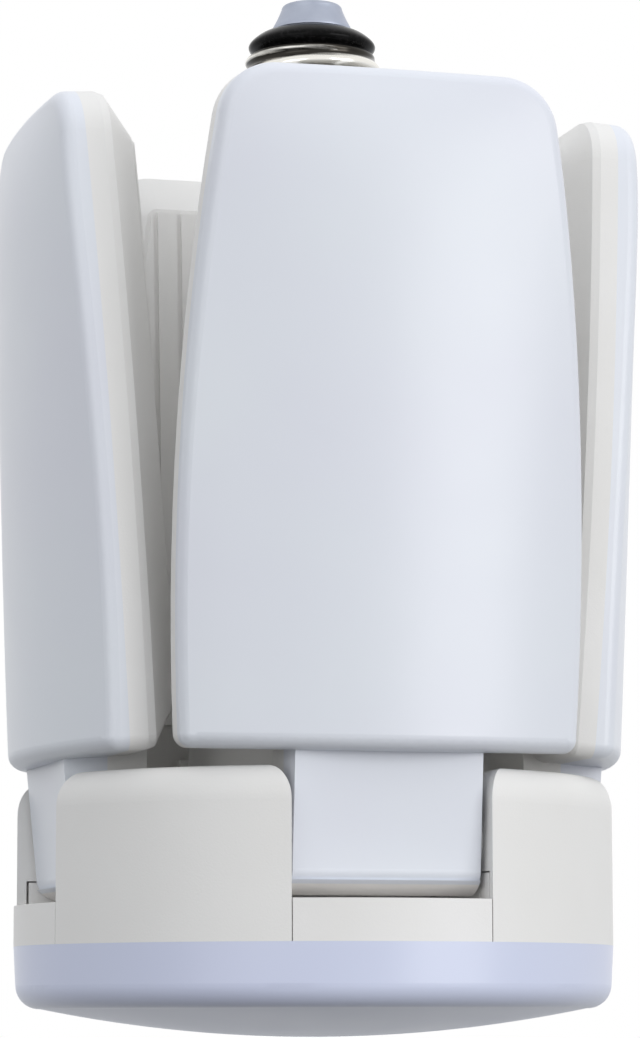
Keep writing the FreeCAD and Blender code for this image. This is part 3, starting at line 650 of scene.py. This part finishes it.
class GarageLampSettings(bpy.types.PropertyGroup):
    """Sizes and colours of the lamp's finish."""

    crest_radius: FloatProperty(
        name="Thread crest radius", description="Radius over the thread's crests",
        default=0.0131, unit="LENGTH")
    root_radius: FloatProperty(
        name="Thread root radius", description="Radius in the thread's roots",
        default=0.0121, unit="LENGTH")
    skirt_radius: FloatProperty(
        name="Skirt radius", description="Radius of the shell's plain skirt",
        default=0.0132, unit="LENGTH")
    skirt_height: FloatProperty(
        name="Skirt height", description="Height of the plain skirt", default=0.0046, unit="LENGTH")
    thread_pitch: FloatProperty(
        name="Thread pitch", description="Rise of the thread in one turn",
        default=0.00363, unit="LENGTH")
    contact_top_radius: FloatProperty(
        name="Contact top radius", description="Radius of the contact's top",
        default=0.0054, unit="LENGTH")
    contact_foot_radius: FloatProperty(
        name="Contact foot radius", description="Radius of the contact's foot",
        default=0.0077, unit="LENGTH")
    contact_height: FloatProperty(
        name="Contact height", description="Height of the contact", default=0.0053, unit="LENGTH")
    thread_start: FloatProperty(
        name="Thread start", description="Turn of the thread about the axis",
        default=4.4, subtype="ANGLE")
    insulator_rim_radius: FloatProperty(
        name="Insulator rim radius", description="Radius of the insulator's rim",
        default=0.0122, unit="LENGTH")
    housing_colour: FloatVectorProperty(
        name="Housing colour", description="Warm white of the hub",
        default=(0.87, 0.865, 0.85), subtype="COLOR")
    housing_shade: FloatVectorProperty(
        name="Housing shade", description="Darker clouds in the white",
        default=(0.83, 0.82, 0.80), subtype="COLOR")
    ring_colour: FloatVectorProperty(
        name="Ring colour", description="White of the base ring",
        default=(0.88, 0.87, 0.87), subtype="COLOR")
    tray_colour: FloatVectorProperty(
        name="Tray colour", description="Warm white of the trays",
        default=(0.89, 0.882, 0.872), subtype="COLOR")
    cover_colour: FloatVectorProperty(
        name="Cover colour", description="Cool white of the leaf covers",
        default=(0.80, 0.84, 0.88), subtype="COLOR")
    cover_shade: FloatVectorProperty(
        name="Cover shade", description="Depths of the leaf covers",
        default=(0.77, 0.79, 0.86), subtype="COLOR")
    # Painted lift: a lighter, warmer white under the necks, brighter than the cover, to lift the
    # shade there.
    tongue_painted_lift_colour: FloatVectorProperty(
        name="Tongue colour", description="Warmer white under the leaves' necks",
        default=(0.93, 0.90, 0.87), subtype="COLOR")
    tongue_height: FloatProperty(
        name="Tongue height", description="Height of the warmer tongue under a neck",
        default=0.0020, unit="LENGTH")
    lens_colour: FloatVectorProperty(
        name="Lens colour", description="Cool white of the lower lens",
        default=(0.70, 0.75, 0.91), subtype="COLOR")
    lens_shade: FloatVectorProperty(
        name="Lens shade", description="Depths of the lower lens",
        default=(0.66, 0.70, 0.88), subtype="COLOR")
    sky_colour: FloatVectorProperty(
        name="Sky colour", description="Tint of the room's light",
        default=(0.95, 0.97, 1.0), subtype="COLOR")
    sky_level: FloatProperty(
        name="Sky level", description="Strength of the room's light", default=0.88, min=0.0)
    key_power: FloatProperty(
        name="Key power", description="Power of the softbox on the right",
        default=15.5, unit="POWER")
    fill_power: FloatProperty(
        name="Fill power", description="Power of the softbox on the left",
        default=6.0, unit="POWER")
    floor_drop: FloatProperty(
        name="Floor drop", description="Height of the hanging lamp over the floor",
        default=0.30, unit="LENGTH")
    floor_bounce: FloatProperty(
        name="Floor bounce", description="Share of the light that the floor sends back up",
        default=0.08, min=0.0, max=1.0)
    floor_size: FloatProperty(
        name="Floor size", description="Width of the floor", default=40.0, unit="LENGTH")


# ---- operators -------------------------------------------------------------------------------

class GARAGELAMP_OT_cap(bpy.types.Operator):
    """Builds the screw shell with its rolled thread, the black insulator and the contact"""

    bl_idname = "garagelamp.cap"
    bl_label = "Screw cap"

    def execute(self, context):
        dress_cap()
        return {"FINISHED"}


class GARAGELAMP_OT_hub(bpy.types.Operator):
    """Finishes the hub, its base ring and the column"""

    bl_idname = "garagelamp.hub"
    bl_label = "Hub and column"

    def execute(self, context):
        dress_hub()
        return {"FINISHED"}


class GARAGELAMP_OT_hinges(bpy.types.Operator):
    """Finishes the hinge pins and washers"""

    bl_idname = "garagelamp.hinges"
    bl_label = "Hinges"

    def execute(self, context):
        dress_hinges()
        return {"FINISHED"}


class GARAGELAMP_OT_lower_lamp(bpy.types.Operator):
    """Finishes the lower lens, its light board and chips"""

    bl_idname = "garagelamp.lower_lamp"
    bl_label = "Lower lamp"

    def execute(self, context):
        dress_lower_lamp()
        return {"FINISHED"}


class GARAGELAMP_OT_driver(bpy.types.Operator):
    """Finishes the driver board and what stands on it"""

    bl_idname = "garagelamp.driver"
    bl_label = "Driver"

    def execute(self, context):
        dress_driver()
        return {"FINISHED"}


class GARAGELAMP_OT_screws(bpy.types.Operator):
    """Finishes all screws"""

    bl_idname = "garagelamp.screws"
    bl_label = "Screws"

    def execute(self, context):
        dress_screws()
        return {"FINISHED"}


class GARAGELAMP_OT_leaves(bpy.types.Operator):
    """Finishes the four leaves"""

    bl_idname = "garagelamp.leaves"
    bl_label = "Leaves"

    def execute(self, context):
        dress_leaves()
        return {"FINISHED"}


class GARAGELAMP_OT_stage(bpy.types.Operator):
    """Adds the floor, the studio light and the photograph's camera"""

    bl_idname = "garagelamp.stage"
    bl_label = "Stage"

    def execute(self, context):
        look = sizes()
        context.scene.view_settings.view_transform = "Standard"
        add_floor()
        light_world()
        add_softbox("key softbox", KEY_PLACE, KEY_WIDTH, look.key_power)
        add_softbox("fill softbox", FILL_PLACE, FILL_WIDTH, look.fill_power)
        add_camera()
        return {"FINISHED"}


OPERATORS = (GARAGELAMP_OT_cap, GARAGELAMP_OT_hub, GARAGELAMP_OT_hinges, GARAGELAMP_OT_lower_lamp,
             GARAGELAMP_OT_driver, GARAGELAMP_OT_screws, GARAGELAMP_OT_leaves, GARAGELAMP_OT_stage)


class GARAGELAMP_PT_panel(bpy.types.Panel):
    """Lists the lamp's pieces"""

    bl_idname = "GARAGELAMP_PT_panel"
    bl_label = "Garage lamp"
    bl_space_type = "VIEW_3D"
    bl_region_type = "UI"
    bl_category = "Garage lamp"

    def draw(self, context):
        for operator in OPERATORS:
            self.layout.operator(operator.bl_idname)


def register():
    bpy.utils.register_class(GarageLampSettings)
    bpy.types.Scene.garage_lamp = PointerProperty(type=GarageLampSettings)
    for operator in OPERATORS:
        bpy.utils.register_class(operator)
    bpy.utils.register_class(GARAGELAMP_PT_panel)


def unregister():
    bpy.utils.unregister_class(GARAGELAMP_PT_panel)
    for operator in reversed(OPERATORS):
        bpy.utils.unregister_class(operator)
    del bpy.types.Scene.garage_lamp
    bpy.utils.unregister_class(GarageLampSettings)


def main():
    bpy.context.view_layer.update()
    register()
    bpy.ops.garagelamp.cap()
    bpy.ops.garagelamp.hub()
    bpy.ops.garagelamp.hinges()
    bpy.ops.garagelamp.lower_lamp()
    bpy.ops.garagelamp.driver()
    bpy.ops.garagelamp.screws()
    bpy.ops.garagelamp.leaves()
    bpy.ops.garagelamp.stage()


if __name__ == "__main__":
    main()
